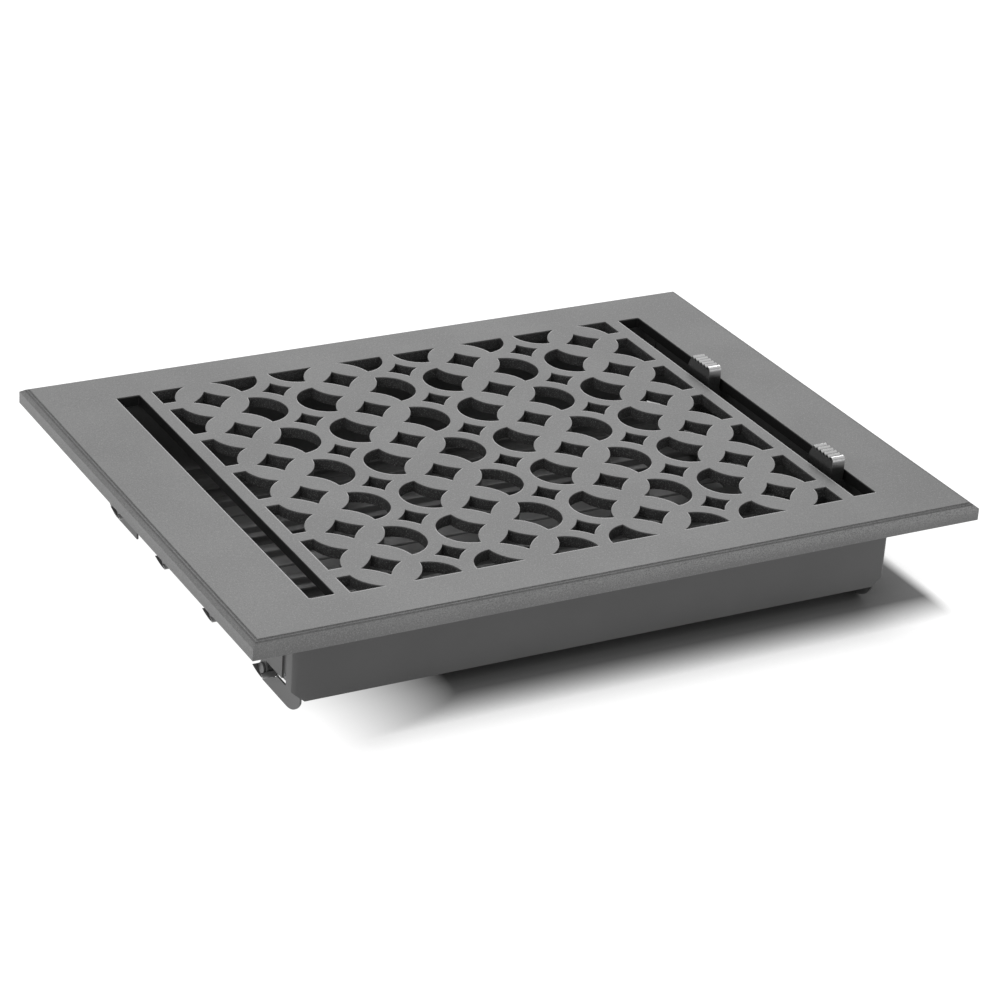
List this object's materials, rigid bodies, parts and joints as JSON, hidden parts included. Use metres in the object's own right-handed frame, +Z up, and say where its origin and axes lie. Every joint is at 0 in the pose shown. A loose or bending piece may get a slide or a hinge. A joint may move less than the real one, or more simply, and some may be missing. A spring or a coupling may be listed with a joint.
{
  "type": "floor register",
  "caption": "Cast floor register with a lattice of pointed and round openings, a sheet damper box, louvre blades and ribbed thumb levers.",
  "frame": {"origin": "middle of the grille on the underside of the rim, the plane that lies on the floor", "axes": "+Z up out of the floor, X along the blades and the plate's longer side with the levers at +X, +Y towards the back"},
  "size_m": [0.4, 0.2986, 0.0718],
  "materials": {
    "cast_finish": "neutral grey satin powder coat over a cast surface, fine orange peel",
    "lever_finish": "neutral grey satin powder coat on a casting",
    "box_enamel": "smooth dark grey satin enamel on folded sheet",
    "blade_enamel": "near-black satin enamel on pressed sheet",
    "plated_steel": "dull plated steel"
  },
  "bodies": {
    "register": {"face_plate": "cast_finish", "front_wall": "box_enamel", "rear_wall": "box_enamel", "left_wall": "box_enamel", "right_wall": "box_enamel", "front_left_stop": "box_enamel", "front_right_stop": "box_enamel", "rear_left_stop": "box_enamel", "rear_right_stop": "box_enamel", "box_screws": "plated_steel", "corner_eyelets": "plated_steel"},
    "front_louvre": {"front_blade": "blade_enamel", "front_left_bracket": "blade_enamel", "front_crank": "blade_enamel", "front_left_pivot": "plated_steel", "front_right_pivot": "plated_steel", "front_link_pin": "plated_steel", "front_lever": "lever_finish", "front_lever_rivets": "plated_steel"},
    "second_louvre": {"second_blade": "blade_enamel", "second_left_bracket": "blade_enamel", "second_crank": "blade_enamel", "second_left_pivot": "plated_steel", "second_right_pivot": "plated_steel", "second_link_pin": "plated_steel"},
    "third_louvre": {"third_blade": "blade_enamel", "third_left_bracket": "blade_enamel", "third_crank": "blade_enamel", "third_left_pivot": "plated_steel", "third_right_pivot": "plated_steel", "third_link_pin": "plated_steel", "rear_lever": "lever_finish", "rear_lever_rivets": "plated_steel"},
    "rear_louvre": {"rear_blade": "blade_enamel", "rear_left_bracket": "blade_enamel", "rear_crank": "blade_enamel", "rear_left_pivot": "plated_steel", "rear_right_pivot": "plated_steel", "rear_link_pin": "plated_steel"},
    "front_link_bar": {"front_link": "plated_steel"},
    "rear_link_bar": {"rear_link": "plated_steel"}
  },
  "joints": [
    {"name": "front_blade_hinge", "type": "hinge", "parent": "register", "child": "front_louvre", "pos_m": [0, -0.09, -0.041], "axis": [1, 0, 0], "range_deg": [-45, 0]},
    {"name": "second_blade_hinge", "type": "hinge", "parent": "register", "child": "second_louvre", "pos_m": [0, -0.03, -0.041], "axis": [1, 0, 0], "range_deg": [-45, 0]},
    {"name": "third_blade_hinge", "type": "hinge", "parent": "register", "child": "third_louvre", "pos_m": [0, 0.03, -0.041], "axis": [1, 0, 0], "range_deg": [-45, 0]},
    {"name": "rear_blade_hinge", "type": "hinge", "parent": "register", "child": "rear_louvre", "pos_m": [0, 0.09, -0.041], "axis": [1, 0, 0], "range_deg": [-45, 0]},
    {"name": "front_link_hinge", "type": "hinge", "parent": "front_louvre", "child": "front_link_bar", "pos_m": [0.1618, -0.09459, -0.02991], "axis": [1, 0, 0], "range_deg": [0, 45]},
    {"name": "rear_link_hinge", "type": "hinge", "parent": "third_louvre", "child": "rear_link_bar", "pos_m": [0.1618, 0.02541, -0.02991], "axis": [1, 0, 0], "range_deg": [0, 45]}
  ],
  "couplings": [
    {"joint": "second_blade_hinge", "follows": "front_blade_hinge", "ratio": 1},
    {"joint": "front_link_hinge", "follows": "front_blade_hinge", "ratio": -1},
    {"joint": "rear_blade_hinge", "follows": "third_blade_hinge", "ratio": 1},
    {"joint": "rear_link_hinge", "follows": "third_blade_hinge", "ratio": -1}
  ]
}
